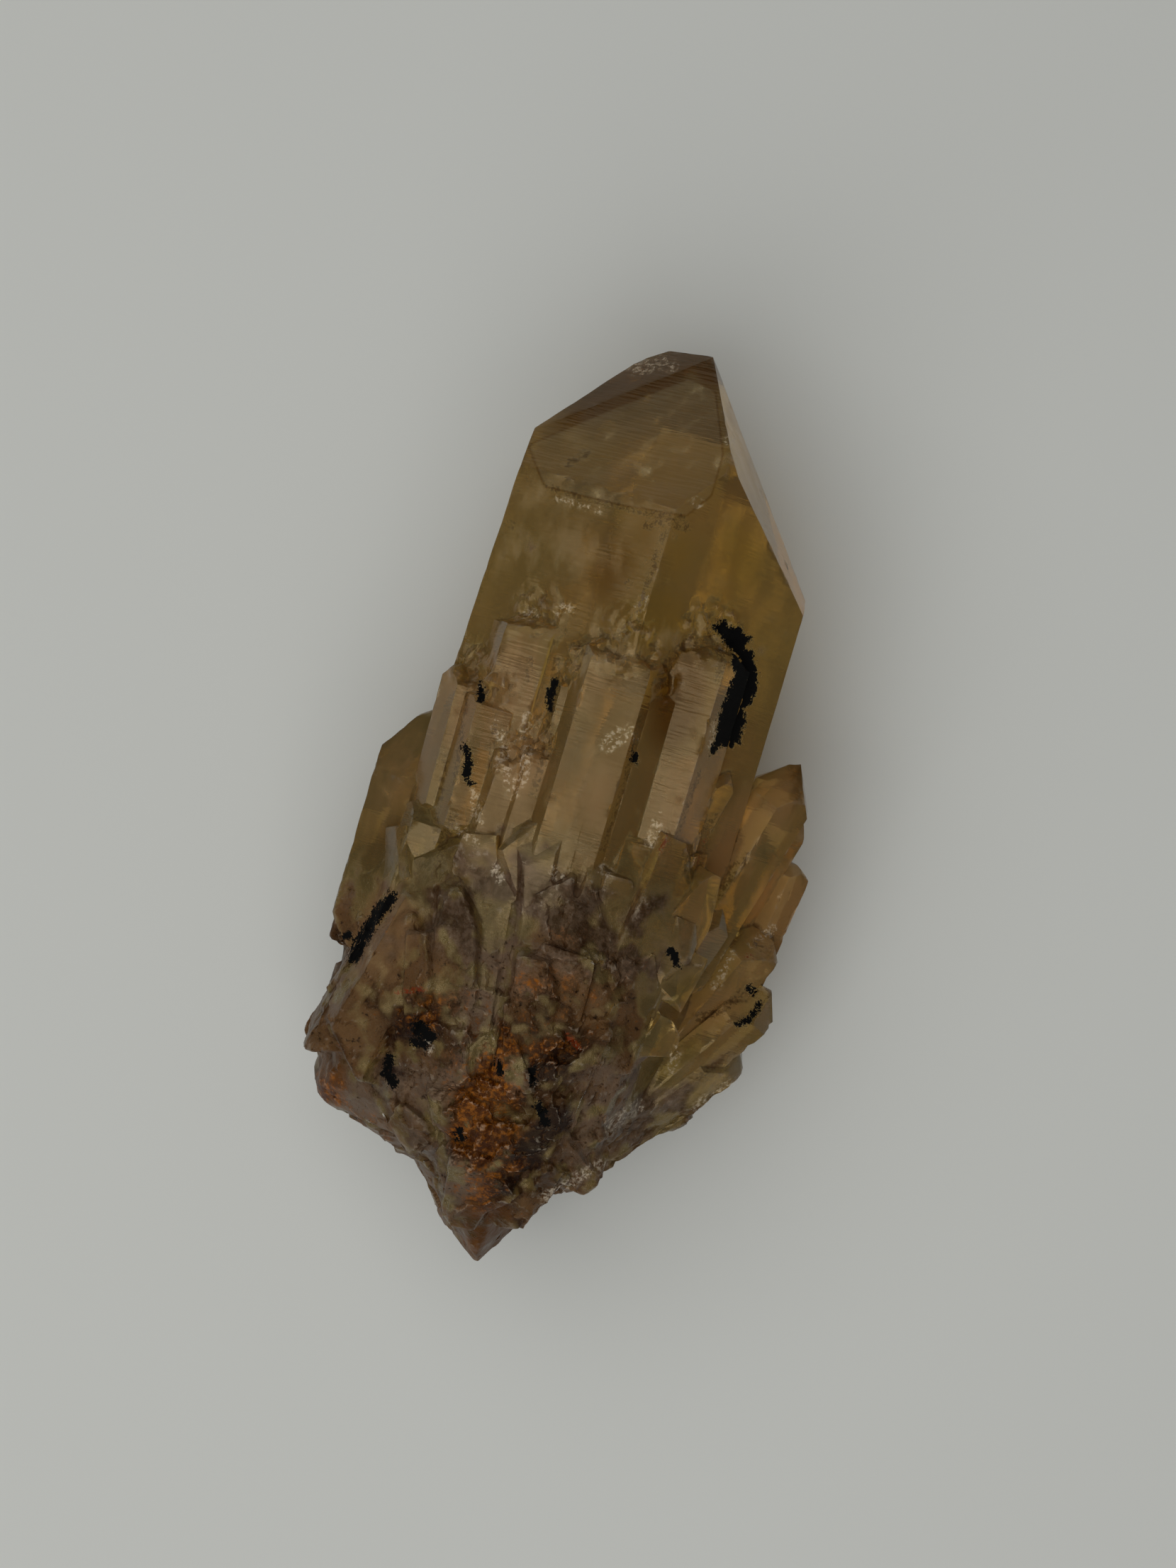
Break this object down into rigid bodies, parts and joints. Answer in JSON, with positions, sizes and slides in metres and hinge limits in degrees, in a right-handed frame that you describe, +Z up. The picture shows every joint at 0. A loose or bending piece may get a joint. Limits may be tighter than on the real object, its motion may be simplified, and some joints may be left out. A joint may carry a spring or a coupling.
{
  "type": "citrine crystal cluster",
  "caption": "Smoky yellow quartz cluster lying on its side: one large six-sided point with a sloping tip, smaller points grown against its lower half, and a rough broken root.",
  "frame": {"origin": "middle of the footprint, on the surface that the specimen rests on", "axes": "+Y runs along the large point towards its tip, +Z is up, +X is to the right as seen from above"},
  "size_m": [0.0458, 0.0948, 0.0349],
  "materials": {
    "citrine": "clear smoky yellow quartz, glassy faces, milky and rust-stained towards the broken root"
  },
  "bodies": {
    "root": {"citrine_cluster": "citrine"}
  },
  "joints": []
}
